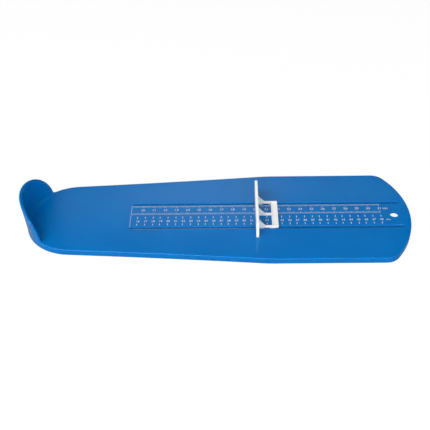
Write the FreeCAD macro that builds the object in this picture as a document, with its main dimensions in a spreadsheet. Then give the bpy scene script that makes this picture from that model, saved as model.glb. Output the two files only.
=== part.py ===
import FreeCAD, Part
# Foot measuring device: a moulded plate with a cup for the heel, and a slider that is pushed up to
# the toes and reads the length of the foot on a printed scale.
#
# Frame: X runs along the foot, from the zero of the scale at the heel towards the toes, Y across the
# plate and Z up from the surface that the plate stands on. All sizes are in millimetres.
import itertools
import math
import os

import Sketcher
from FreeCAD import Placement, Rotation, Vector

doc = FreeCAD.newDocument("foot_measuring_device")
sheet = doc.addObject("Spreadsheet::Sheet", "sizes")

SIZES = [
    # base plate, seen from above
    ("heel_radius", 43.4, "round end under the heel"),
    ("heel_centre", 41.5, "from the zero of the scale to the middle of the round end"),
    ("flank_radius", 5800.0, "gentle hollow of the sides between heel and shoulder"),
    ("shoulder_blend", 119.0, "rounding where the sides turn parallel"),
    ("shoulder_from_zero", 215.0, "where the sides turn parallel"),
    ("half_width", 56.0, "half the width of the parallel stretch"),
    ("plate_length", 336.0, "from the zero to the tip of the toe end"),
    ("toe_radius", 82.7, "round of the toe end"),
    ("toe_corner", 13.6, "corner between side and toe end"),
    # base plate, section
    ("plate_height", 5.5, "from the table to the top of the plate"),
    ("floor_thickness", 2.4, "wall of the plate"),
    ("skirt_thickness", 2.2, "wall of the rim that hangs down all round"),
    ("edge_round", 1.0, "rounding of the plate's outer top edge and the rim's outer edge"),
    # heel cup
    ("cup_wall", 2.8, "wall of the heel cup"),
    ("cup_lean", 3.8, "outward lean of the cup's wall, in degrees"),
    ("cup_root", 3.0, "hollow rounding between cup and plate, inside"),
    ("cup_reach", 16.0, "how far along the foot the rim comes down to the plate"),
    ("rim_radius", 41.9, "round of the rim, seen from the side"),
    ("rim_centre_drop", 4.8, "from the plate's top down to the centre of that round"),
    ("rim_foot_round", 2.5, "hollow rounding where the rim runs out into the plate"),
    # guide slots and hanging hole
    ("slot_offset", 16.0, "from the middle line to the middle of a slot"),
    ("slot_width", 2.6, "width of a slot"),
    ("slot_start", 91.0, "heel end of the slots"),
    ("slot_toe_margin", 8.0, "from the slots' toe end to the tip of the plate"),
    ("hole_toe_margin", 14.1, "from the centre of the hanging hole to the tip of the plate"),
    ("hole_radius", 3.7, "hanging hole"),
    ("opening_round", 0.5, "rounding of the top edges of slots and hole"),
    # ribs under the plate
    ("rib_thickness", 1.2, "thickness of every rib"),
    ("rib_ground_gap", 1.0, "from the table to the lower edge of the ribs"),
    ("rib_inner", 11.2, "from the middle line to the ribs inside the slots"),
    ("rib_outer", 20.8, "from the middle line to the ribs outside the slots"),
    ("rib_side", 34.0, "from the middle line to the ribs nearest the sides"),
    ("rib_start", 84.0, "heel end of the ribs"),
    ("rib_toe_margin", 26.0, "from the toe end of the ribs to the tip of the plate"),
    ("cross_rib_count", 6, "number of cross ribs"),
    # slider
    ("slider_reading", 200.0, "where the slider stands, as it reads on the scale"),
    ("slider_gap", 0.2, "clearance between slider and plate"),
    ("fence_length", 59.0, "length of the fence, across the plate"),
    ("fence_height", 15.8, "height of the fence"),
    ("fence_thickness", 2.5, "thickness of the fence"),
    ("slider_round", 0.5, "rounding of the slider's outer edges"),
    ("frame_length", 19.7, "from the fence's face to the back of the cross plate"),
    ("frame_overhang", 0.1, "how far the reading frame stands out beyond its snap legs"),
    ("frame_height", 1.7, "height of the reading frame"),
    ("frame_ribs", 3, "number of ribs along the frame, each with a gusset"),
    ("slider_rib", 1.8, "thickness of the frame's ribs and gussets"),
    ("cross_plate", 5.6, "width of the cross plate that closes the frame"),
    ("recess_depth", 0.7, "depth of the finger recess in the cross plate"),
    ("recess_rim_front", 0.9, "rim between the windows and the recess"),
    ("recess_rim_back", 1.6, "rim behind the recess"),
    ("gusset_length", 5.8, "length of a gusset along its rib"),
    ("gusset_height", 8.0, "height of a gusset up the fence"),
    # snap legs
    ("leg_thickness", 1.2, "thickness of a snap leg"),
    ("leg_length", 4.5, "length of a snap leg along its slot"),
    ("leg_start", 2.0, "from the fence's face to the first snap leg"),
    ("leg_pitch", 10.5, "from one snap leg to the next"),
    ("legs_per_slot", 2, "number of snap legs in a slot"),
    ("leg_side_gap", 0.2, "clearance between a leg and the outer wall of its slot"),
    ("hook_reach", 1.0, "how far a hook reaches outwards from its leg"),
    ("hook_height", 1.3, "height of a hook"),
    ("hook_gap", 0.3, "clearance between a hook and the plate"),
    # printed scales
    ("ink_thickness", 0.05, "thickness of the ink"),
    ("ink_line", 0.3, "width of a ruler line"),
    ("ink_bold", 0.55, "width of a shoe-size line"),
    ("scale_first", 9, "first centimetre of the ruler"),
    ("ruler_toe_margin", 18.0, "from the end of the printed scales to the toe end of the slots"),
    ("upper_row", 13.8, "from the middle line to the outer ends of the upper ticks"),
    ("lower_row", 1.8, "from the middle line to the outer ends of the lower ticks"),
    ("tick_millimetre", 1.8, "length of a millimetre tick"),
    ("tick_half", 2.3, "length of a half-centimetre tick"),
    ("tick_centimetre", 2.9, "length of a centimetre tick"),
    ("closing_line", 28.2, "length of the line at the start of the ruler"),
    ("size_first", 16, "first shoe size"),
    ("size_allowance", 10.0, "room in a shoe beyond the foot"),
    ("size_tick", 2.4, "length of a shoe-size line"),
    ("size_tick_upper", 1.1, "from the middle line down to the line over a shoe size"),
    ("size_tick_lower", 10.2, "from the middle line down to the line under a shoe size"),
]
MILLIMETRES_PER_CENTIMETRE = 10
TINY = 1e-4  # what two places may differ by and still be the same

for row, (alias, value, note) in enumerate(SIZES, start=1):
    sheet.set("A%d" % row, alias)
    sheet.set("B%d" % row, str(value))
    sheet.set("C%d" % row, note)
    sheet.setAlias("B%d" % row, alias)
doc.recompute()

START, END, CENTRE = range(1, 4)  # the points of a sketch element
X_AXIS, Y_AXIS, ORIGIN = -1, -2, (-1, 1)  # a sketch's own axes and origin
HOLE_CENTRE = "sizes.plate_length - sizes.hole_toe_margin"
SLOT_END = "sizes.plate_length - sizes.slot_toe_margin"
RIB_END = "sizes.plate_length - sizes.rib_toe_margin"
SCALES_END = SLOT_END + " - sizes.ruler_toe_margin"
LEG_OUTSIDE = "sizes.slot_offset + sizes.slot_width / 2 - sizes.leg_side_gap"
FRAME_SIDE = "(" + LEG_OUTSIDE + " + sizes.frame_overhang)"


def size(alias):
    """A driving size, read from the sheet."""
    return float(sheet.get(alias))


def worked_out(expression):
    """What an expression over the sheet's sizes comes to."""
    return float(sheet.evalExpression(expression))


def new_body(label):
    body = doc.addObject("PartDesign::Body", label)
    body.Label = label
    return body


def new_sketch(body, name, role, offset=None):
    """A sketch on one of the body's origin planes, or at an offset along that plane's normal."""
    sketch = body.newObject("Sketcher::SketchObject", name)
    plane = next(item for item in body.Origin.OriginFeatures if item.Role == role)
    sketch.AttachmentSupport = [(plane, "")]
    sketch.MapMode = "FlatFace"
    if offset:
        sketch.setExpression(".AttachmentOffset.Base.z", offset)
    return sketch


def bind(sketch, kind, places, expression):
    """Add a dimension to the sketch and let the expression set it."""
    index = sketch.addConstraint(Sketcher.Constraint(kind, *places, worked_out(expression)))
    sketch.setExpression("Constraints[%d]" % index, expression)


def bind_point(sketch, place, across, up):
    """Set one point of a sketch by two expressions, each "0" for a point on that axis."""
    for kind, axis, expression in (("DistanceX", Y_AXIS, across), ("DistanceY", X_AXIS, up)):
        if expression == "0":
            sketch.addConstraint(Sketcher.Constraint("PointOnObject", *place, axis))
        else:
            bind(sketch, kind, ORIGIN + place, expression)


def polygon(sketch, corners):
    """A closed outline of straight lines, with each corner set by two expressions."""
    points = [Vector(worked_out(across), worked_out(up), 0) for across, up in corners]
    lines = []
    for start, end in zip(points, points[1:] + points[:1]):
        lines.append(sketch.addGeometry(Part.LineSegment(start, end)))
    for line, following in zip(lines, lines[1:] + lines[:1]):
        sketch.addConstraint(Sketcher.Constraint("Coincident", line, END, following, START))
    for line, (across, up) in zip(lines, corners):
        bind_point(sketch, (line, START), across, up)


def rectangle(sketch, left, right, low, high):
    polygon(sketch, [(left, low), (right, low), (right, high), (left, high)])


def circle_arc(sketch, centre, radius, start, end):
    """An anticlockwise arc of a circle, by its angles."""
    circle = Part.Circle(centre, Vector(0, 0, 1), radius)
    return sketch.addGeometry(Part.ArcOfCircle(circle, start, end))


def join_smoothly(sketch, joints):
    """Make pairs of element ends meet, tangent to each other."""
    for first, second in joints:
        sketch.addConstraint(Sketcher.Constraint("Tangent", *first, *second))


def pad(body, name, sketch, length):
    feature = body.newObject("PartDesign::Pad", name)
    feature.Profile = sketch
    feature.setExpression("Length", length)
    return feature


def pocket(body, name, sketch, depth=None, upwards=False):
    """A pocket of a given depth, or right through; it must take something away."""
    doc.recompute()
    before = body.Tip.Shape.Volume
    feature = body.newObject("PartDesign::Pocket", name)
    feature.Profile = sketch
    feature.Reversed = upwards
    if depth:
        feature.setExpression("Length", depth)
    else:
        feature.Type = "ThroughAll"
        feature.SideType = "Symmetric"
    doc.recompute()
    if not feature.Shape.Volume < before:
        raise RuntimeError("%s takes nothing away" % name)
    return feature


def mirrored(body, name, original):
    """The same feature again on the other side of the middle line."""
    feature = body.newObject("PartDesign::Mirrored", name)
    feature.Originals = [original]
    plane = next(item for item in body.Origin.OriginFeatures if item.Role == "XZ_Plane")
    feature.MirrorPlane = (plane, [""])
    body.Tip = feature
    return feature


def repeated(body, name, original, role, length, count):
    """Copies of a feature, spread over a length along one of the body's axes."""
    feature = body.newObject("PartDesign::LinearPattern", name)
    feature.Originals = [original]
    axis = next(item for item in body.Origin.OriginFeatures if item.Role == role)
    feature.Direction = (axis, [""])
    feature.setExpression("Length", length)
    feature.setExpression("Occurrences", count)
    body.Tip = feature
    return feature


def rounded(body, name, radius, wanted):
    """Round the edges of the body so far that pass a test."""
    doc.recompute()
    base = body.Tip
    edges = ["Edge%d" % number for number, edge in enumerate(base.Shape.Edges, start=1) if wanted(edge)]
    feature = body.newObject("PartDesign::Fillet", name)
    feature.Base = (base, edges)
    feature.setExpression("Radius", radius)
    return feature


def meeting_point(first, first_radius, second, second_radius):
    """Where two circles meet, on the left of the line from the first centre to the second."""
    line = second.sub(first)
    distance = line.Length
    along = (first_radius ** 2 - second_radius ** 2 + distance ** 2) / (2 * distance)
    aside = math.sqrt(first_radius ** 2 - along ** 2)
    direction = line.normalize()
    return first + direction * along + Vector(-direction.y, direction.x, 0) * aside


def heading(start, end):
    return math.atan2(end.y - start.y, end.x - start.x)


def mirror_if(lower, point):
    return Vector(point.x, -point.y, 0) if lower else point


def plate_outline(sketch, inset):
    """The plate's edge seen from above, drawn a distance inside it: heel, flanks, shoulders, toe end."""
    inside = worked_out(inset)
    heel = Vector(size("heel_centre"), 0, 0)
    toe = Vector(size("plate_length") - size("toe_radius"), 0, 0)
    blend = Vector(size("shoulder_from_zero"), size("half_width") - size("shoulder_blend"), 0)
    flank = meeting_point(
        heel, size("heel_radius") + size("flank_radius"),
        blend, size("shoulder_blend") + size("flank_radius"))
    corner_up = size("half_width") - size("toe_corner")
    corner_along = math.sqrt((size("toe_radius") - size("toe_corner")) ** 2 - corner_up ** 2)
    corner = toe + Vector(corner_along, corner_up, 0)
    turn = heading(heel, flank)
    spread = heading(toe, corner)
    heel_arc = circle_arc(sketch, heel, size("heel_radius") - inside, turn, 2 * math.pi - turn)
    toe_arc = circle_arc(sketch, toe, size("toe_radius") - inside, -spread, spread)
    bind_point(sketch, (heel_arc, CENTRE), "sizes.heel_centre", "0")
    bind_point(sketch, (toe_arc, CENTRE), "sizes.plate_length - sizes.toe_radius", "0")
    bind(sketch, "Radius", (heel_arc,), "sizes.heel_radius - " + inset)
    bind(sketch, "Radius", (toe_arc,), "sizes.toe_radius - " + inset)
    for lower in (False, True):
        arcs = []
        for centre, radius, start, end in (
                (flank, size("flank_radius") + inside, heading(flank, heel), heading(flank, blend)),
                (blend, size("shoulder_blend") - inside, math.pi / 2, heading(blend, flank)),
                (corner, size("toe_corner") - inside, spread, math.pi / 2)):
            angles = (-end, -start) if lower else (start, end)
            arcs.append(circle_arc(sketch, mirror_if(lower, centre), radius, *angles))
        flank_arc, blend_arc, corner_arc = arcs
        edge = size("half_width") - inside
        ends = [mirror_if(lower, Vector(x, edge, 0)) for x in (blend.x, corner.x)]
        side = sketch.addGeometry(Part.LineSegment(*ends))
        near, far = (END, START) if lower else (START, END)
        join_smoothly(sketch, [
            ((heel_arc, near), (flank_arc, near)),
            ((flank_arc, far), (blend_arc, far)),
            ((blend_arc, near), (side, START)),
            ((side, END), (corner_arc, far)),
            ((corner_arc, near), (toe_arc, far)),
        ])
        sketch.addConstraint(Sketcher.Constraint("Horizontal", side))
        places = (side, START) + ORIGIN if lower else ORIGIN + (side, START)
        bind(sketch, "DistanceY", places, "sizes.half_width - " + inset)
        bind(sketch, "DistanceX", ORIGIN + (blend_arc, CENTRE), "sizes.shoulder_from_zero")
        bind(sketch, "Radius", (flank_arc,), "sizes.flank_radius + " + inset)
        bind(sketch, "Radius", (blend_arc,), "sizes.shoulder_blend - " + inset)
        bind(sketch, "Radius", (corner_arc,), "sizes.toe_corner - " + inset)


def cup_profile(sketch):
    """Half a section through the cup, by distance from its axis: a leaning wall on a round root."""
    lean = math.radians(size("cup_lean"))
    joined = "sizes.plate_height - sizes.floor_thickness / 2"
    blank_top = "sizes.plate_height + sizes.rim_radius - sizes.rim_centre_drop"
    root = size("cup_root")
    top = worked_out(blank_top)
    floor = size("plate_height")
    outside_top = size("heel_radius") + (top - floor) * math.tan(lean)
    inside_foot = size("heel_radius") - size("cup_wall") / math.cos(lean)
    centre = Vector(inside_foot + root * math.tan(lean) - root / math.cos(lean), floor + root, 0)
    root_top = centre + Vector(math.cos(lean), -math.sin(lean), 0) * root
    points = [
        Vector(size("heel_radius"), worked_out(joined), 0),
        Vector(size("heel_radius"), floor, 0),
        Vector(outside_top, top, 0),
        Vector(outside_top - size("cup_wall") / math.cos(lean), top, 0),
        root_top,
    ]
    skirt, outside, rim, inside = [
        sketch.addGeometry(Part.LineSegment(start, end)) for start, end in zip(points, points[1:])]
    root_arc = circle_arc(sketch, centre, root, -math.pi / 2, -lean)
    root_end = Vector(centre.x, floor, 0)
    lowest = Vector(centre.x, worked_out(joined), 0)
    end = sketch.addGeometry(Part.LineSegment(root_end, lowest))
    bottom = sketch.addGeometry(Part.LineSegment(lowest, points[0]))
    for first, second in ((skirt, outside), (outside, rim), (rim, inside), (end, bottom), (bottom, skirt)):
        sketch.addConstraint(Sketcher.Constraint("Coincident", first, END, second, START))
    sketch.addConstraint(Sketcher.Constraint("Coincident", root_arc, START, end, START))
    join_smoothly(sketch, [((inside, END), (root_arc, END))])
    for line in (skirt, end):
        sketch.addConstraint(Sketcher.Constraint("Vertical", line))
    for line in (rim, bottom):
        sketch.addConstraint(Sketcher.Constraint("Horizontal", line))
    sketch.addConstraint(Sketcher.Constraint("Parallel", outside, inside))
    sketch.addConstraint(Sketcher.Constraint("Vertical", root_arc, CENTRE, root_arc, START))
    bind_point(sketch, (skirt, START), "sizes.heel_radius", joined)
    bind(sketch, "DistanceY", ORIGIN + (skirt, END), "sizes.plate_height")
    bind(sketch, "DistanceY", ORIGIN + (outside, END), blank_top)
    bind(sketch, "DistanceY", ORIGIN + (root_arc, START), "sizes.plate_height")
    bind(sketch, "Distance", (inside, START, outside), "sizes.cup_wall")
    bind(sketch, "Radius", (root_arc,), "sizes.cup_root")
    index = sketch.addConstraint(Sketcher.Constraint("Angle", outside, math.pi / 2 - lean))
    sketch.setExpression("Constraints[%d]" % index, "90 deg - sizes.cup_lean * 1 deg")


def rim_cut(sketch):
    """What the rim leaves out, seen from the side: all above a big round that runs out into the plate."""
    floor = size("plate_height")
    reach = Vector(size("cup_reach"), floor, 0)
    radius = size("rim_radius")
    drop = size("rim_centre_drop")
    foot = size("rim_foot_round")
    centre = reach - Vector(math.sqrt(radius ** 2 - drop ** 2), drop, 0)
    foot_along = math.sqrt((radius + foot) ** 2 - (drop + foot) ** 2)
    foot_centre = centre + Vector(foot_along, drop + foot, 0)
    lean = heading(centre, foot_centre)
    above = floor + radius
    rim = circle_arc(sketch, centre, radius, lean, math.pi / 2)
    foot_arc = circle_arc(sketch, foot_centre, foot, math.pi + lean, math.pi * 3 / 2)
    points = [
        Vector(foot_centre.x, floor, 0),
        Vector(size("heel_centre"), floor, 0),
        Vector(size("heel_centre"), above, 0),
        Vector(centre.x, above, 0),
        Vector(centre.x, centre.y + radius, 0),
    ]
    bottom, front, top, back = [
        sketch.addGeometry(Part.LineSegment(start, end)) for start, end in zip(points, points[1:])]
    for first, second in ((bottom, front), (front, top), (top, back)):
        sketch.addConstraint(Sketcher.Constraint("Coincident", first, END, second, START))
    sketch.addConstraint(Sketcher.Constraint("Coincident", back, END, rim, END))
    join_smoothly(sketch, [((rim, START), (foot_arc, START)), ((foot_arc, END), (bottom, START))])
    for line in (front, back):
        sketch.addConstraint(Sketcher.Constraint("Vertical", line))
    for line in (bottom, top):
        sketch.addConstraint(Sketcher.Constraint("Horizontal", line))
    sketch.addConstraint(Sketcher.Constraint("Vertical", rim, CENTRE, rim, END))
    bind_point(sketch, (bottom, END), "sizes.heel_centre", "sizes.plate_height")
    bind(sketch, "DistanceY", ORIGIN + (top, START), "sizes.plate_height + sizes.rim_radius")
    bind(sketch, "Radius", (rim,), "sizes.rim_radius")
    bind(sketch, "Radius", (foot_arc,), "sizes.rim_foot_round")
    meets_plate = sketch.addGeometry(Part.Point(reach))
    bind_point(sketch, (meets_plate, START), "sizes.cup_reach", "sizes.plate_height")
    sketch.addConstraint(Sketcher.Constraint("PointOnObject", meets_plate, START, rim))
    bind(sketch, "DistanceY", (rim, CENTRE, meets_plate, START), "sizes.rim_centre_drop")


def slot_outline(sketch):
    """One guide slot, with round ends."""
    radius = size("slot_width") / 2
    ends = [Vector(size("slot_start") + radius, size("slot_offset"), 0),
            Vector(worked_out(SLOT_END) - radius, size("slot_offset"), 0)]
    half_turn = math.pi / 2
    heel_end = circle_arc(sketch, ends[0], radius, half_turn, 3 * half_turn)
    toe_end = circle_arc(sketch, ends[1], radius, -half_turn, half_turn)
    aside = Vector(0, radius, 0)
    near = sketch.addGeometry(Part.LineSegment(ends[0] - aside, ends[1] - aside))
    far = sketch.addGeometry(Part.LineSegment(ends[1] + aside, ends[0] + aside))
    join_smoothly(sketch, [
        ((heel_end, END), (near, START)),
        ((near, END), (toe_end, START)),
        ((toe_end, END), (far, START)),
        ((far, END), (heel_end, START)),
    ])
    sketch.addConstraint(Sketcher.Constraint("Equal", heel_end, toe_end))
    bind(sketch, "Radius", (heel_end,), "sizes.slot_width / 2")
    bind_point(sketch, (heel_end, CENTRE), "sizes.slot_start + sizes.slot_width / 2", "sizes.slot_offset")
    bind_point(sketch, (toe_end, CENTRE), SLOT_END + " - sizes.slot_width / 2", "sizes.slot_offset")


def hole_outline(sketch):
    centre = Vector(worked_out(HOLE_CENTRE), 0, 0)
    circle = sketch.addGeometry(Part.Circle(centre, Vector(0, 0, 1), size("hole_radius")))
    bind_point(sketch, (circle, CENTRE), HOLE_CENTRE, "0")
    bind(sketch, "Radius", (circle,), "sizes.hole_radius")


def at_toe_tip(edge):
    """The plate's top edge at the toe end; the rounding runs on from it, also up the cup's rim."""
    box = edge.BoundBox
    return box.ZMin > size("plate_height") - TINY and box.XMax > size("plate_length") - TINY


def round_opening(edge):
    """The top edges of the slots and the hanging hole."""
    box = edge.BoundBox
    flat_on_top = abs(box.ZMin - size("plate_height")) < TINY and box.ZLength < TINY
    near_middle = max(-box.YMin, box.YMax) < size("slot_offset") + size("slot_width")
    return flat_on_top and near_middle and box.XMin > size("heel_centre")


def rib_pad(body, name, rectangles):
    """Ribs that hang from the plate's floor and stop short of the table."""
    sketch = new_sketch(body, name + "_outline", "XY_Plane", "sizes.rib_ground_gap")
    for sides in rectangles:
        rectangle(sketch, *sides)
    return pad(
        body, name, sketch, "sizes.plate_height - sizes.floor_thickness - sizes.rib_ground_gap")


def add_ribs(body):
    """Long ribs beside the slots and near the sides, an end rib at the heel, and cross ribs."""
    half = "sizes.rib_thickness / 2"
    long_ribs = []
    for place in ("sizes.rib_inner", "sizes.rib_outer", "sizes.rib_side"):
        for middle in (place, "-" + place):
            sides = (middle + " - " + half, middle + " + " + half)
            long_ribs.append(("sizes.rib_start", RIB_END) + sides)
    rib_pad(body, "long_ribs", long_ribs)
    behind = "sizes.rib_start + sizes.rib_thickness"
    rib_pad(body, "end_rib", [("sizes.rib_start", behind, "-sizes.rib_side", "sizes.rib_side")])
    spans = (
        ("-sizes.rib_side", "-sizes.rib_outer"),
        ("-sizes.rib_inner", "sizes.rib_inner"),
        ("sizes.rib_outer", "sizes.rib_side"),
    )
    cross_rib = rib_pad(body, "cross_rib", [("sizes.rib_start", behind, low, high) for low, high in spans])
    last = RIB_END + " - sizes.rib_start - sizes.rib_thickness"
    repeated(body, "cross_ribs", cross_rib, "X_Axis", last, "sizes.cross_rib_count")


def make_base_plate():
    """The plate with its skirt, heel cup, guide slots, hanging hole and ribs: one moulding."""
    body = new_body("base_plate")
    outline = new_sketch(body, "plate_outline", "XY_Plane")
    plate_outline(outline, "0")
    pad(body, "plate", outline, "sizes.plate_height")

    cavity = new_sketch(body, "underside_outline", "XY_Plane")
    plate_outline(cavity, "sizes.skirt_thickness")
    pocket(body, "underside", cavity, "sizes.plate_height - sizes.floor_thickness", upwards=True)

    profile = new_sketch(body, "cup_profile", "XZ_Plane")
    profile.AttachmentOffset = Placement(Vector(), Rotation(Vector(0, 1, 0), 180))
    profile.setExpression(".AttachmentOffset.Base.x", "sizes.heel_centre")
    cup_profile(profile)
    cup = body.newObject("PartDesign::Revolution", "cup_blank")
    cup.Profile = profile
    cup.ReferenceAxis = (profile, ["V_Axis"])
    cup.Midplane = True
    beside_the_axis = "sizes.heel_centre - sizes.cup_reach - 2 * sizes.rim_foot_round"
    cup.setExpression("Angle", "2 * acos((" + beside_the_axis + ") / sizes.heel_radius)")

    cut = new_sketch(body, "rim_outline", "XZ_Plane")
    rim_cut(cut)
    pocket(body, "rim", cut)
    rounded(body, "outer_edge", "sizes.edge_round", at_toe_tip)

    slot = new_sketch(body, "slot_outline", "XY_Plane")
    slot_outline(slot)
    mirrored(body, "slots", pocket(body, "slot", slot))
    hole = new_sketch(body, "hole_outline", "XY_Plane")
    hole_outline(hole)
    pocket(body, "hanging_hole", hole)
    rounded(body, "opening_edges", "sizes.opening_round", round_opening)
    add_ribs(body)
    return body


def fence_sides():
    """The fence's two ends, across the plate."""
    return "-sizes.fence_length / 2", "sizes.fence_length / 2"


def frame_windows():
    """The frame's windows between its ribs, as pairs of expressions across the plate."""
    pitch = "(2 * " + FRAME_SIDE + " - sizes.slider_rib) / (sizes.frame_ribs - 1)"
    windows = []
    for number in range(int(size("frame_ribs")) - 1):
        low = "sizes.slider_rib - %s + %d * %s" % (FRAME_SIDE, number, pitch)
        windows.append((low, low + " + " + pitch + " - sizes.slider_rib"))
    return windows


def leg_corners(side):
    """A snap leg seen along the slot: it hangs from the frame and hooks outwards under the plate."""
    outer = side + "(" + LEG_OUTSIDE
    hook_top = "-(sizes.slider_gap + sizes.floor_thickness + sizes.hook_gap)"
    bottom = hook_top + " - sizes.hook_height"
    return [
        (outer + " - sizes.leg_thickness)", "0"),
        (outer + " - sizes.leg_thickness)", bottom),
        (outer + ")", bottom),
        (outer + " + sizes.hook_reach)", hook_top),
        (outer + ")", hook_top),
        (outer + ")", "0"),
    ]


def slider_outer_edge(edge):
    """The fence's top edges, and the upright edges of the fence's ends and of the frame's back."""
    box = edge.BoundBox
    upright = box.XLength < TINY and box.YLength < TINY
    at_end = abs(box.Center.y) > size("fence_length") / 2 - TINY
    at_back = box.XMin > size("frame_length") - TINY
    on_top = box.ZMin > size("fence_height") - TINY
    return on_top or (upright and (at_end or at_back))


def make_slider():
    """The toe fence with its reading frame, gussets and snap legs: one moulding."""
    body = new_body("slider")
    fence = new_sketch(body, "fence_outline", "XY_Plane")
    rectangle(fence, "0", "sizes.fence_thickness", *fence_sides())
    pad(body, "fence", fence, "sizes.fence_height")

    frame = new_sketch(body, "frame_outline", "XY_Plane")
    rectangle(frame, "0", "sizes.frame_length", "-" + FRAME_SIDE, FRAME_SIDE)
    for low, high in frame_windows():
        rectangle(frame, "sizes.fence_thickness", "sizes.frame_length - sizes.cross_plate", low, high)
    pad(body, "frame", frame, "sizes.frame_height")

    recess = new_sketch(body, "recess_outline", "XY_Plane", "sizes.frame_height")
    rectangle(
        recess,
        "sizes.frame_length - sizes.cross_plate + sizes.recess_rim_front",
        "sizes.frame_length - sizes.recess_rim_back",
        "sizes.slider_rib - " + FRAME_SIDE,
        FRAME_SIDE + " - sizes.slider_rib")
    pocket(body, "recess", recess, "sizes.recess_depth")

    gusset = new_sketch(body, "gusset_outline", "XZ_Plane", FRAME_SIDE + " - sizes.slider_rib / 2")
    polygon(gusset, [
        ("sizes.fence_thickness", "sizes.frame_height"),
        ("sizes.fence_thickness + sizes.gusset_length", "sizes.frame_height"),
        ("sizes.fence_thickness", "sizes.gusset_height")])
    first_gusset = pad(body, "gusset", gusset, "sizes.slider_rib")
    first_gusset.Midplane = True
    apart = "2 * " + FRAME_SIDE + " - sizes.slider_rib"
    repeated(body, "gussets", first_gusset, "Y_Axis", apart, "sizes.frame_ribs")

    for name, side in (("left", ""), ("right", "-")):
        leg = new_sketch(body, name + "_leg_outline", "YZ_Plane", "sizes.leg_start")
        polygon(leg, leg_corners(side))
        first_leg = pad(body, name + "_leg", leg, "sizes.leg_length")
        repeated(
            body, name + "_legs", first_leg, "X_Axis", "sizes.leg_pitch * (sizes.legs_per_slot - 1)",
            "sizes.legs_per_slot")
    rounded(body, "outer_edges", "sizes.slider_round", slider_outer_edge)
    body.setExpression(".Placement.Base.x", "sizes.slider_reading")
    body.setExpression(".Placement.Base.z", "sizes.plate_height + sizes.slider_gap")
    return body


def printed(label, marks):
    """Flat marks of ink on the plate, each by its left and lower edge, its width and its height."""
    ink = size("ink_thickness")
    feature = doc.addObject("Part::Feature", label)
    feature.Label = label
    feature.Shape = Part.makeCompound(
        [Part.makeBox(width, height, ink, Vector(left, low, 0)) for left, low, width, height in marks])
    feature.setExpression(".Placement.Base.z", "sizes.plate_height")
    return feature


def make_centimetre_scale():
    """Two facing rows of millimetre ticks, and the line that closes the ruler at its start."""
    line = size("ink_line")
    first = int(size("scale_first")) * MILLIMETRES_PER_CENTIMETRE
    last = math.floor(worked_out(SCALES_END) + TINY)
    marks = [(first - line / 2, size("upper_row") - size("closing_line"), line, size("closing_line"))]
    for millimetre in range(first + 1, last + 1):
        length = size("tick_millimetre")
        if millimetre % (MILLIMETRES_PER_CENTIMETRE // 2) == 0:
            length = size("tick_half")
        if millimetre % MILLIMETRES_PER_CENTIMETRE == 0:
            length = size("tick_centimetre")
        marks.append((millimetre - line / 2, size("upper_row") - length, line, length))
        marks.append((millimetre - line / 2, size("lower_row"), line, length))
    return printed("centimetre_scale", marks)


def make_shoe_size_scale():
    """A line over and under each shoe size, at its foot length: three sizes to two centimetres."""
    line = size("ink_bold")
    last = worked_out(SCALES_END) + TINY
    marks = []
    for number in itertools.count(int(size("size_first"))):
        foot = math.floor(number * 2 * MILLIMETRES_PER_CENTIMETRE / 3 - size("size_allowance"))
        if foot > last:
            break
        for upper_end in (size("size_tick_upper"), size("size_tick_lower")):
            marks.append((foot - line / 2, -upper_end - size("size_tick"), line, size("size_tick")))
    return printed("shoe_size_scale", marks)


nodes = [make_base_plate(), make_slider(), make_centimetre_scale(), make_shoe_size_scale()]
doc.recompute()

for item in doc.Objects:
    if "Invalid" in item.State or "Error" in item.State:
        raise RuntimeError("%s has failed: %s" % (item.Name, item.State))
for node in nodes:
    if node.Shape.isNull() or not node.Shape.isValid():
        raise RuntimeError("%s has no valid shape" % node.Label)

os.makedirs("parts", exist_ok=True)
for node in nodes:
    node.Shape.exportStep("parts/%s.step" % node.Label)
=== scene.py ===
from math import pi, radians

import bpy
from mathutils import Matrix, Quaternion, Vector


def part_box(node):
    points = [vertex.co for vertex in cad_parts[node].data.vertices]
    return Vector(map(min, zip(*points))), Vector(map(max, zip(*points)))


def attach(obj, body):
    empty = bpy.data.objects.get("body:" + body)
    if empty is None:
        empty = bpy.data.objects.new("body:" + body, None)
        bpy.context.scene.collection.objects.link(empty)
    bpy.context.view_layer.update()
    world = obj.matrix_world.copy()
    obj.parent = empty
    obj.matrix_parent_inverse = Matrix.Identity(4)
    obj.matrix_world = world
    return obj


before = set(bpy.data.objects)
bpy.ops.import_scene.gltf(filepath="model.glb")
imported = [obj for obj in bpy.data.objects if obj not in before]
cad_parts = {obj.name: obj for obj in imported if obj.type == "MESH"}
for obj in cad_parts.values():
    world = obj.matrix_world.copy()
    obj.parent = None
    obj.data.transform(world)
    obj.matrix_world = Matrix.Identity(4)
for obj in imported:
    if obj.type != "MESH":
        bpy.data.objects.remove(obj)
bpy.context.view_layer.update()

# Sizes, in metres.
MILLIMETRE = 0.001
CENTIMETRE = 0.01
PLATE_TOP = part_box("centimetre_scale")[0].z
INK_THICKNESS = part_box("centimetre_scale")[1].z - PLATE_TOP

# The numbers printed between the two rows of centimetre marks.
FIRST_CENTIMETRE = 10
LAST_CENTIMETRE = 31
CENTIMETRE_ROW = 7.8 * MILLIMETRE
CENTIMETRE_DIGITS = 2.6 * MILLIMETRE

# The numbers printed between the shoe-size marks. A size is two thirds of a centimetre of the
# shoe's length inside, which is one centimetre longer than the foot.
FIRST_SIZE = 16
LAST_SIZE = 48
SIZE_STEP = 20 / 3 * MILLIMETRE
SIZE_ALLOWANCE = 10 * MILLIMETRE
SIZE_ROW = -7.1 * MILLIMETRE
SIZE_DIGITS = 2.3 * MILLIMETRE

# Where the unit marks stand, past the last numbers.
CENTIMETRE_UNIT = 315 * MILLIMETRE
SIZE_UNIT = 316 * MILLIMETRE

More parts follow.
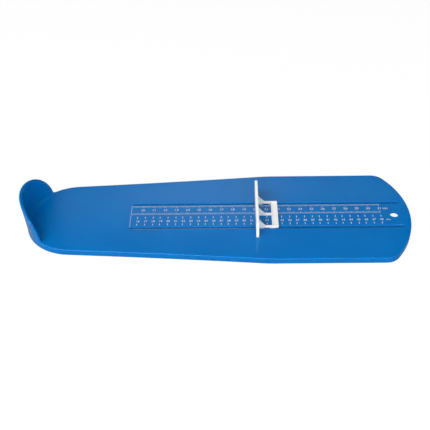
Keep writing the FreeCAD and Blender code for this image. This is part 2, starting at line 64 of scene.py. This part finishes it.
# How round the light sees the sharp edges of a moulding, how far it goes into the plastic, and
# how far red, green and blue go beside each other.
EDGE_ROUND = 0.4 * MILLIMETRE
GLOW_DEPTH = 4 * MILLIMETRE
GLOW_COLOURS = (0.2, 0.75, 1.0)
PLASTIC_IOR = 1.49

# How fine the patterns in the surfaces are, in steps to the metre, and which way the rubs run.
GRAIN_SCALE = 2600
FLOW_SCALE = 22
RUB_SCALE = (60, 1400, 300)
RUB_TURN = radians(8)
INK_GRAIN_SCALE = 5200

# Colours of the plastics, where the melt flowed least and most, and of the inks.
BLUES = ((0.0010, 0.158, 0.472), (0.0012, 0.170, 0.496))
WHITES = ((0.94, 0.94, 0.93), (0.97, 0.97, 0.96))
CENTIMETRE_INK = (0.55, 0.62, 0.72)
SIZE_INK = (0.56, 0.63, 0.72)

# How bright the ink's pinholes are beside full ink, and which part of its grain is all pinhole
# and which all ink. The roughness is a span: (from, to, level from, level to).
WORN_INK = 0.72
PINHOLES_BELOW = 0.34
FULL_INK_ABOVE = 0.46
INK_ROUGHNESS = (0.3, 0.7, 0.62, 0.45)

# The light, where 1 is as bright as white paper. The glow from the right has a span for how it
# grows to the right and one for how it fades upwards.
ROOM_LEVEL = 0.02
STRIP_LEVEL = 1.75
SIDE_LEVEL = 0.11
SIDE_GROWS = (0.3, 0.7, 0, 1)
SIDE_FADES = (0.35, 0.6, SIDE_LEVEL, 0)

# The wall strip: its edges, each with the way it is measured and a span. It also fades upwards,
# and STRIP_SLOPE is how much lower that fade lies for each step to the right.
STRIP_EDGES = (
    ("up", 0.604, 0.612, 0, 1),
    ("up", 0.685, 0.705, 1, 0),
    ("sideways", -0.284, -0.279, 0, 1),
    ("sideways", -0.21, -0.10, 0.48, 1),
    ("sideways", 0.04, 0.12, 1, 0.60),
    ("sideways", 0.24, 0.30, 1, 0),
    ("ahead", 0.1, 0.2, 0, 1),
)
STRIP_SLOPE = 0.11
STRIP_FADE = (0.630, 0.668, 1.0, 0.18)

# The table, and the plate's shade painted on it as a box, with painted light under the heel half
# and below the hole.
TABLE_WIDTH = 12
TABLE_GREY = (0.60, 0.60, 0.60, 1)
TABLE_SHINE = 0.8
PAPER_LEVEL = 1.12
TABLE_IN_REFLECTIONS = 0.33
PAINTED_SHADE_MIDDLE = 192 * MILLIMETRE
PAINTED_SHADE_LENGTH = 272 * MILLIMETRE
PAINTED_SHADE_WIDTH = 48 * MILLIMETRE
PAINTED_SHADE_FADE = 3 * MILLIMETRE
BELOW_HOLE = (322 * MILLIMETRE, 5 * MILLIMETRE, 0)
PAINTED_HOLE_LIGHT_RADIUS = 12 * MILLIMETRE
PAINTED_HOLE_LIGHT_FADE = 2 * MILLIMETRE
PAINTED_HEEL_LIGHT = 0.45
PAINTED_HEEL_LIGHT_END = 180 * MILLIMETRE
PAINTED_HEEL_LIGHT_FADE = 30 * MILLIMETRE

# Softboxes: name, place, width, depth and brightness. All face the middle of the object.
LAMP_AIM = (0.17, 0.0, 0.0)
LAMPS = (
    ("overhead", (0.17, 0.0, 1.6), 2.0, 1.6, 0.50),
    ("front_left", (-0.90, -1.15, 1.30), 2.6, 1.8, 3.0),
    ("right", (1.40, -0.60, 1.45), 0.4, 0.4, 9.0),
    ("front", (0.40, -1.45, 0.90), 2.2, 1.1, 2.5),
)

# The camera: how it is turned, in radians, where it stands, and its lens in millimetres.
CAMERA_DOWN = radians(40.5)
CAMERA_TURNED = -0.028361528556
CAMERA_ROLLED = -0.027538149477
CAMERA_PLACE = (0.1799752, -0.5494494, 0.4755511)
CAMERA_LENS = 68.57232
CAMERA_SENSOR = 36

# The built-in lettering: how tall a digit is for a text size of one, and how fat its ink runs.
DIGIT_SHARE = 0.70
INK_SPREAD = 0.010


def deselect_all():
    """Out of edit mode, with nothing selected."""
    if bpy.context.object and bpy.context.object.mode != "OBJECT":
        bpy.ops.object.mode_set(mode="OBJECT")
    bpy.ops.object.select_all(action="DESELECT")


# ---------------------------------------------------------------- materials


def new_group(name, inputs, outputs):
    """A shader node group with named sockets. Each is (name, type, value)."""
    group = bpy.data.node_groups.new(name, "ShaderNodeTree")
    for label, kind, value in inputs:
        socket = group.interface.new_socket(label, in_out="INPUT", socket_type=kind)
        socket.default_value = value
    for label, kind in outputs:
        group.interface.new_socket(label, in_out="OUTPUT", socket_type=kind)
    return group


def node(tree, kind, **settings):
    """A new shader node, with its settings."""
    made = tree.nodes.new(kind)
    for name, value in settings.items():
        setattr(made, name, value)
    return made


def noise(tree, coordinates, scale, detail=2.0, roughness=0.5):
    """A soft pattern of patches, from 0 to 1."""
    made = node(tree, "ShaderNodeTexNoise")
    made.inputs["Scale"].default_value = scale
    made.inputs["Detail"].default_value = detail
    made.inputs["Roughness"].default_value = roughness
    tree.links.new(coordinates, made.inputs["Vector"])
    return made.outputs["Fac"]


def remapped(tree, value, low, high, to_low, to_high):
    """The value, taken from one span to another and held at its ends."""
    made = node(tree, "ShaderNodeMapRange")
    for name, number in (
        ("From Min", low), ("From Max", high), ("To Min", to_low), ("To Max", to_high)
    ):
        made.inputs[name].default_value = number
    tree.links.new(value, made.inputs["Value"])
    return made.outputs["Result"]


def maths(tree, operation, first, second):
    """Two values or numbers, put together."""
    made = node(tree, "ShaderNodeMath", operation=operation)
    for socket, value in zip(made.inputs, (first, second)):
        if isinstance(value, (int, float)):
            socket.default_value = value
        else:
            tree.links.new(value, socket)
    return made.outputs["Value"]


def moulded_surface_group():
    """What a moulded face shows close up: a fine etched grain, gloss that changes slowly where
    the plastic flowed, and short faint rubs from handling."""
    group = new_group(
        "moulded_surface",
        [
            ("Gloss Roughness", "NodeSocketFloat", 0.35),
            ("Gloss Change", "NodeSocketFloat", 0.03),
            ("Rub Strength", "NodeSocketFloat", 0.04),
        ],
        [("Roughness", "NodeSocketFloat"), ("Height", "NodeSocketFloat"),
         ("Flow", "NodeSocketFloat")],
    )
    given = node(group, "NodeGroupInput")
    result = node(group, "NodeGroupOutput")
    place = node(group, "ShaderNodeTexCoord").outputs["Object"]

    grain = noise(group, place, GRAIN_SCALE, 1.0)
    flow = noise(group, place, FLOW_SCALE, 2.0)

    # Rubs run along the part: the pattern is squeezed across and drawn out lengthwise.
    along = node(group, "ShaderNodeMapping")
    along.inputs["Scale"].default_value = RUB_SCALE
    along.inputs["Rotation"].default_value = (0, 0, RUB_TURN)
    group.links.new(place, along.inputs["Vector"])
    rubs = remapped(group, noise(group, along.outputs["Vector"], 1, 2.0), 0.62, 0.75, 0, 1)

    gloss = maths(group, "MULTIPLY", maths(group, "SUBTRACT", flow, 0.5),
                  given.outputs["Gloss Change"])
    rubbed = maths(group, "MULTIPLY", rubs, given.outputs["Rub Strength"])
    rough = maths(group, "ADD", given.outputs["Gloss Roughness"],
                  maths(group, "ADD", gloss, rubbed))
    height = maths(group, "ADD", grain, maths(group, "MULTIPLY", rubs, -0.3))
    group.links.new(rough, result.inputs["Roughness"])
    group.links.new(height, result.inputs["Height"])
    group.links.new(flow, result.inputs["Flow"])
    return group


def new_material(name):
    """A material, its node tree and its Principled BSDF."""
    made = bpy.data.materials.new(name)
    made.use_nodes = True
    tree = made.node_tree
    return made, tree, tree.nodes["Principled BSDF"]


def colour_ramp(tree, value, stops):
    """The value as a colour. Each stop is (position, colour)."""
    made = node(tree, "ShaderNodeValToRGB")
    elements = made.color_ramp.elements
    while len(elements) < len(stops):
        elements.new(0.5)
    for element, (position, colour) in zip(elements, stops):
        element.position = position
        element.color = (*colour, 1)
    tree.links.new(value, made.inputs["Fac"])
    return made.outputs["Color"]


def moulded_plastic(name, surface, colours, gloss_roughness, grain_depth, gloss, glow):
    """Injection-moulded plastic: its colour shifts a little where the melt flowed."""
    made, tree, shader = new_material(name)
    moulded = node(tree, "ShaderNodeGroup", node_tree=surface)
    moulded.inputs["Gloss Roughness"].default_value = gloss_roughness
    tree.links.new(
        colour_ramp(tree, moulded.outputs["Flow"], [(0.3, colours[0]), (0.7, colours[1])]),
        shader.inputs["Base Color"],
    )
    tree.links.new(moulded.outputs["Roughness"], shader.inputs["Roughness"])
    bump = node(tree, "ShaderNodeBump")
    bump.inputs["Strength"].default_value = 0.5
    bump.inputs["Distance"].default_value = grain_depth
    tree.links.new(moulded.outputs["Height"], bump.inputs["Height"])
    # No moulded edge is quite sharp: it catches the light along a fine line.
    edge = node(tree, "ShaderNodeBevel", samples=6)
    edge.inputs["Radius"].default_value = EDGE_ROUND
    tree.links.new(edge.outputs["Normal"], bump.inputs["Normal"])
    tree.links.new(bump.outputs["Normal"], shader.inputs["Normal"])
    shader.inputs["IOR"].default_value = PLASTIC_IOR
    shader.inputs["Specular IOR Level"].default_value = gloss
    # Light goes a little way into the plastic, and thin walls and edges come out richer.
    shader.inputs["Subsurface Weight"].default_value = glow
    shader.inputs["Subsurface Scale"].default_value = GLOW_DEPTH
    shader.inputs["Subsurface Radius"].default_value = GLOW_COLOURS
    return made


def printed_ink(name, colour):
    """Screen-printed ink: a thin coat, with pinholes where it shows the blue."""
    made, tree, shader = new_material(name)
    place = node(tree, "ShaderNodeTexCoord").outputs["Object"]
    cover = noise(tree, place, INK_GRAIN_SCALE, 2.0)
    worn = tuple(WORN_INK * part for part in colour)
    tree.links.new(
        colour_ramp(tree, cover, [(PINHOLES_BELOW, worn), (FULL_INK_ABOVE, colour)]),
        shader.inputs["Base Color"],
    )
    tree.links.new(remapped(tree, cover, *INK_ROUGHNESS), shader.inputs["Roughness"])
    return made


# ---------------------------------------------------------------- printed numbers


def printed_words(words, centre_x, centre_y, height):
    """Flat lettering lying on the plate, as thick as the ink."""
    deselect_all()
    bpy.ops.object.text_add(location=(centre_x, centre_y, PLATE_TOP + INK_THICKNESS / 2))
    text = bpy.context.object
    text.data.body = words
    text.data.size = height / DIGIT_SHARE
    text.data.align_x = "CENTER"
    text.data.align_y = "CENTER"
    text.data.resolution_u = 3
    text.data.offset = INK_SPREAD * height / DIGIT_SHARE
    text.data.extrude = INK_THICKNESS / 2
    bpy.ops.object.convert(target="MESH")
    bpy.ops.object.transform_apply(location=True, rotation=True, scale=True)
    return bpy.context.object


def joined(pieces, name):
    """Several pieces as one, its doubles merged and its faces turned outwards."""
    deselect_all()
    for piece in pieces:
        piece.select_set(True)
    bpy.context.view_layer.objects.active = pieces[0]
    bpy.ops.object.join()
    bpy.ops.object.transform_apply(location=True, rotation=True, scale=True)
    bpy.ops.object.mode_set(mode="EDIT")
    bpy.ops.mesh.select_all(action="SELECT")
    bpy.ops.mesh.remove_doubles(threshold=INK_THICKNESS / 50)
    bpy.ops.mesh.normals_make_consistent(inside=False)
    bpy.ops.object.mode_set(mode="OBJECT")
    made = bpy.context.object
    made.name = made.data.name = name
    # The piece's origin goes to that of the frame, and its place stays in the mesh.
    bpy.context.scene.cursor.location = (0, 0, 0)
    bpy.ops.object.origin_set(type="ORIGIN_CURSOR")
    return made


def print_numbers(ink, size_ink):
    """The numbers of both scales and the unit marks, as three pieces that ride on the plate."""
    centimetres = [
        printed_words(str(reading), reading * CENTIMETRE, CENTIMETRE_ROW, CENTIMETRE_DIGITS)
        for reading in range(FIRST_CENTIMETRE, LAST_CENTIMETRE + 1)
    ]
    sizes = [
        printed_words(str(size), size * SIZE_STEP - SIZE_ALLOWANCE, SIZE_ROW, SIZE_DIGITS)
        for size in range(FIRST_SIZE, LAST_SIZE + 1)
    ]
    units = [
        printed_words("cm", CENTIMETRE_UNIT, CENTIMETRE_ROW, CENTIMETRE_DIGITS),
        printed_words("no.", SIZE_UNIT, SIZE_ROW, SIZE_DIGITS),
    ]
    for pieces, name, material in (
        (centimetres, "centimetre_numbers", ink),
        (sizes, "shoe_size_numbers", size_ink),
        (units, "unit_marks", ink),
    ):
        made = joined(pieces, name)
        made.data.materials.clear()
        made.data.materials.append(material)
        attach(made, "plate")


# ---------------------------------------------------------------- table, light and camera


def light_on_table(tree):
    """How much of the table's paper white shows: 0 in the plate's shade, which is painted as a
    box under it and shows through the slots, and 1 beside it. Painted light shows under the heel
    half and below the hole."""
    place = node(tree, "ShaderNodeTexCoord").outputs["Object"]
    parts = node(tree, "ShaderNodeSeparateXYZ")
    tree.links.new(place, parts.inputs["Vector"])
    across = maths(tree, "ABSOLUTE", parts.outputs["Y"], 0)
    along = maths(tree, "ABSOLUTE", maths(tree, "SUBTRACT", parts.outputs["X"], PAINTED_SHADE_MIDDLE), 0)
    from_hole = node(tree, "ShaderNodeVectorMath", operation="DISTANCE")
    tree.links.new(place, from_hole.inputs[0])
    from_hole.inputs[1].default_value = BELOW_HOLE
    light = 0
    for value, start, fade, inside, outside in (
        (along, PAINTED_SHADE_LENGTH / 2, PAINTED_SHADE_FADE, 0, 1),
        (across, PAINTED_SHADE_WIDTH / 2, PAINTED_SHADE_FADE, 0, 1),
        (from_hole.outputs["Value"], PAINTED_HOLE_LIGHT_RADIUS, PAINTED_HOLE_LIGHT_FADE, 1, 0),
        (parts.outputs["X"], PAINTED_HEEL_LIGHT_END, PAINTED_HEEL_LIGHT_FADE, PAINTED_HEEL_LIGHT, 0),
    ):
        light = maths(tree, "MAXIMUM", light,
                      remapped(tree, value, start, start + fade, inside, outside))
    return light


def lay_table():
    """A white table. The camera sees it nearly as white as paper, with a soft shadow, and the
    object's gloss mirrors it as an even grey."""
    deselect_all()
    bpy.ops.mesh.primitive_plane_add(size=TABLE_WIDTH, location=(0, 0, 0))
    table = bpy.context.object
    table.name = "table"
    made, tree, shader = new_material("white_table")
    tree.nodes.remove(shader)
    matt = node(tree, "ShaderNodeBsdfDiffuse")
    matt.inputs["Color"].default_value = TABLE_GREY
    lit = node(tree, "ShaderNodeEmission")
    rays = node(tree, "ShaderNodeLightPath")
    seen = maths(tree, "MAXIMUM", rays.outputs["Is Camera Ray"],
                 rays.outputs["Is Transmission Ray"])
    # The paper white the camera sees, left out in the painted shade under the plate, with painted
    # light under the heel half and below the hole.
    white = maths(tree, "MULTIPLY", maths(tree, "MULTIPLY", seen, TABLE_SHINE),
                  light_on_table(tree))
    tree.links.new(remapped(tree, seen, 0, 1, TABLE_IN_REFLECTIONS, PAPER_LEVEL),
                   lit.inputs["Strength"])
    mix = node(tree, "ShaderNodeMixShader")
    tree.links.new(maths(tree, "MAXIMUM", white, rays.outputs["Is Glossy Ray"]),
                   mix.inputs["Fac"])
    tree.links.new(matt.outputs["BSDF"], mix.inputs[1])
    tree.links.new(lit.outputs["Emission"], mix.inputs[2])
    tree.links.new(mix.outputs["Shader"], tree.nodes["Material Output"].inputs["Surface"])
    table.data.materials.append(made)


def light_room():
    """A dark room with a pale wall strip behind the object, which its glossy face mirrors. The
    strip is given by the way one looks: how far up, and sideways for each step straight ahead."""
    world = bpy.data.worlds.new("studio")
    bpy.context.scene.world = world
    world.use_nodes = True
    tree = world.node_tree
    background = tree.nodes["Background"]
    background.inputs["Color"].default_value = (1, 1, 1, 1)
    direction = node(tree, "ShaderNodeTexCoord").outputs["Generated"]
    parts = node(tree, "ShaderNodeSeparateXYZ")
    tree.links.new(direction, parts.inputs["Vector"])
    up, ahead = parts.outputs["Z"], parts.outputs["Y"]
    sideways = maths(tree, "DIVIDE", parts.outputs["X"], ahead)
    ways = {"up": up, "ahead": ahead, "sideways": sideways}
    to_the_right = maths(tree, "MAXIMUM", sideways, 0)
    sloping = maths(tree, "ADD", up, maths(tree, "MULTIPLY", to_the_right, STRIP_SLOPE))
    strip = remapped(tree, sloping, *STRIP_FADE)
    for way, *edge in STRIP_EDGES:
        strip = maths(tree, "MULTIPLY", strip, remapped(tree, ways[way], *edge))
    # A weak glow from low on the right reaches into the heel cup. Gloss doesn't mirror it.
    rays = node(tree, "ShaderNodeLightPath")
    side = maths(tree, "MULTIPLY", remapped(tree, parts.outputs["X"], *SIDE_GROWS),
                 remapped(tree, up, *SIDE_FADES))
    side = maths(tree, "MULTIPLY", side,
                 remapped(tree, rays.outputs["Is Glossy Ray"], 0, 1, 1, 0))
    level = maths(tree, "ADD", maths(tree, "ADD", ROOM_LEVEL, side),
                  maths(tree, "MULTIPLY", strip, STRIP_LEVEL))
    tree.links.new(maths(tree, "MAXIMUM", rays.outputs["Is Camera Ray"], level),
                   background.inputs["Strength"])


def add_lamp(name, place, width, depth, brightness):
    """A softbox that looks as bright as given, where 1 is white paper."""
    data = bpy.data.lights.new(name, "AREA")
    data.shape = "RECTANGLE"
    data.size, data.size_y = width, depth
    data.energy = brightness * pi * width * depth
    lamp = bpy.data.objects.new(name, data)
    bpy.context.scene.collection.objects.link(lamp)
    lamp.location = place
    lamp.rotation_euler = (Vector(LAMP_AIM) - Vector(place)).to_track_quat("-Z", "Y").to_euler()
    lamp.visible_camera = False


def add_camera():
    """The camera: rolled about its line of sight, tilted down, then turned about the upright."""
    data = bpy.data.cameras.new("camera")
    data.sensor_fit = "HORIZONTAL"
    data.sensor_width = CAMERA_SENSOR
    data.lens = CAMERA_LENS
    data.clip_start = 0.01
    camera = bpy.data.objects.new("camera", data)
    bpy.context.scene.collection.objects.link(camera)
    turned = Quaternion((0, 0, 1), -CAMERA_TURNED)
    tilted = Quaternion((1, 0, 0), radians(90) - CAMERA_DOWN)
    camera.rotation_mode = "QUATERNION"
    camera.rotation_quaternion = turned @ tilted @ Quaternion((0, 0, 1), CAMERA_ROLLED)
    camera.location = CAMERA_PLACE
    bpy.context.scene.camera = camera


surface = moulded_surface_group()
blue = moulded_plastic(
    "blue_plastic", surface, BLUES,
    gloss_roughness=0.09, grain_depth=0.006 * MILLIMETRE, gloss=0.2, glow=0.7,
)
white = moulded_plastic(
    "white_plastic", surface, WHITES,
    gloss_roughness=0.40, grain_depth=0.015 * MILLIMETRE, gloss=0.5, glow=0.0,
)
ink = printed_ink("white_ink", CENTIMETRE_INK)
size_ink = printed_ink("heavy_white_ink", SIZE_INK)

for name, material in (
    ("base_plate", blue), ("slider", white), ("centimetre_scale", ink),
    ("shoe_size_scale", size_ink),
):
    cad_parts[name].material_slots[0].material = material

print_numbers(ink, size_ink)
lay_table()
light_room()
for lamp in LAMPS:
    add_lamp(*lamp)
add_camera()

bpy.context.scene.view_settings.view_transform = "Standard"
